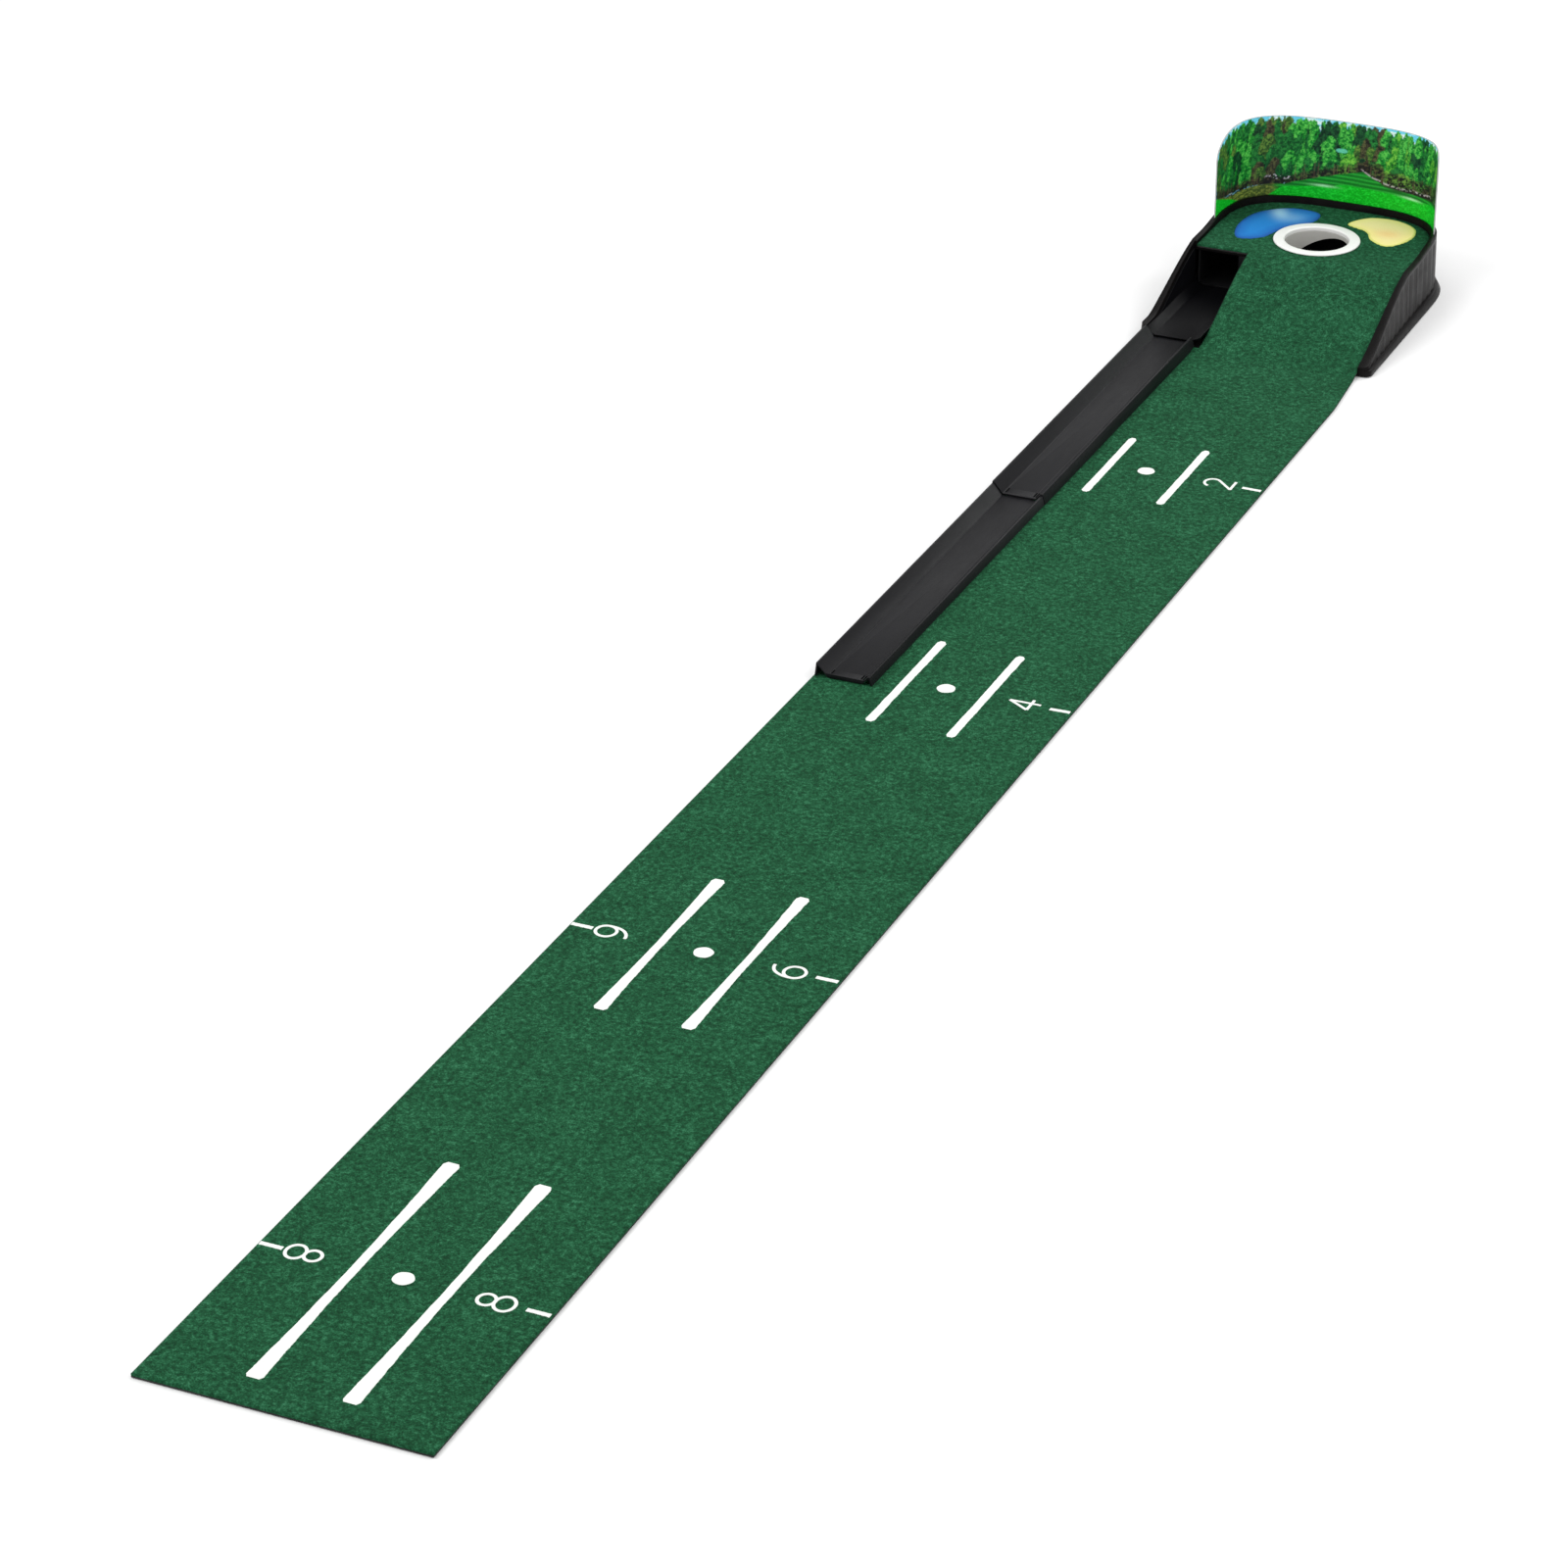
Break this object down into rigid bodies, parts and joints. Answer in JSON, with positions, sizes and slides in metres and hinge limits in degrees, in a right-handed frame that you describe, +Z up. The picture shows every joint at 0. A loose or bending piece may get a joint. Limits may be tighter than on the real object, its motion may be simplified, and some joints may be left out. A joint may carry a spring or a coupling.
{
  "type": "practice putting mat",
  "caption": "Long turf putting mat that climbs a ramp to a raised deck with a cup, a printed backboard and a gutter that rolls the ball back to the player.",
  "frame": {"origin": "on the floor, below the middle of the whole mat's box", "axes": "+Y along the mat towards the cup and backboard, +X to the player's right, +Z up"},
  "size_m": [0.2992, 2.783, 0.182],
  "materials": {
    "backing_rubber": "matte foam rubber",
    "turf_green": "short dense needle-punched pile",
    "water_blue": "smooth printed felt",
    "sand_yellow": "smooth printed felt",
    "moulded_black": "fine satin moulding with fluted sides",
    "inner_black": "satin moulding",
    "chute_black": "satin moulding",
    "track_grey": "satin moulding",
    "printed_panel": "printed landscape under a satin film",
    "ring_white": "semi-gloss",
    "sleeve_grey": "semi-gloss",
    "foot_rubber": "matte",
    "screw_steel": "zinc plated",
    "tape_white": "adhesive tape"
  },
  "bodies": {
    "base": {"mat_backing": "backing_rubber", "head_backing": "backing_rubber", "turf_pile": "turf_green", "water_hazard_inlay": "water_blue", "sand_trap_inlay": "sand_yellow", "base_shell": "moulded_black", "ball_tray": "inner_black", "return_chute": "chute_black", "turf_tape_front": "tape_white", "turf_tape_rear": "tape_white", "front_left_foot": "foot_rubber", "front_right_foot": "foot_rubber", "rear_left_foot": "foot_rubber", "rear_right_foot": "foot_rubber", "tray_screw_1": "screw_steel", "tray_screw_2": "screw_steel", "tray_screw_3": "screw_steel", "tray_screw_4": "screw_steel", "tray_screw_5": "screw_steel", "tray_screw_6": "screw_steel", "chute_screw_1": "screw_steel", "chute_screw_2": "screw_steel"},
    "cup": {"cup_ring": "ring_white", "cup_sleeve": "sleeve_grey"},
    "backboard": {"backboard_panel": "printed_panel"},
    "upper_track": {"upper_track": "track_grey"},
    "lower_track": {"lower_track": "track_grey"}
  },
  "joints": [
    {"name": "cup_lift", "type": "slide", "parent": "base", "child": "cup", "axis": [0, 0, 1], "range_m": [0, 0.052]},
    {"name": "backboard_lift", "type": "slide", "parent": "base", "child": "backboard", "axis": [0, 0, 1], "range_m": [0, 0.04]},
    {"name": "upper_track_pull", "type": "slide", "parent": "base", "child": "upper_track", "axis": [0, -1, 0], "range_m": [0, 0.05]},
    {"name": "lower_track_pull", "type": "slide", "parent": "upper_track", "child": "lower_track", "axis": [0, -1, 0], "range_m": [0, 0.05]}
  ]
}
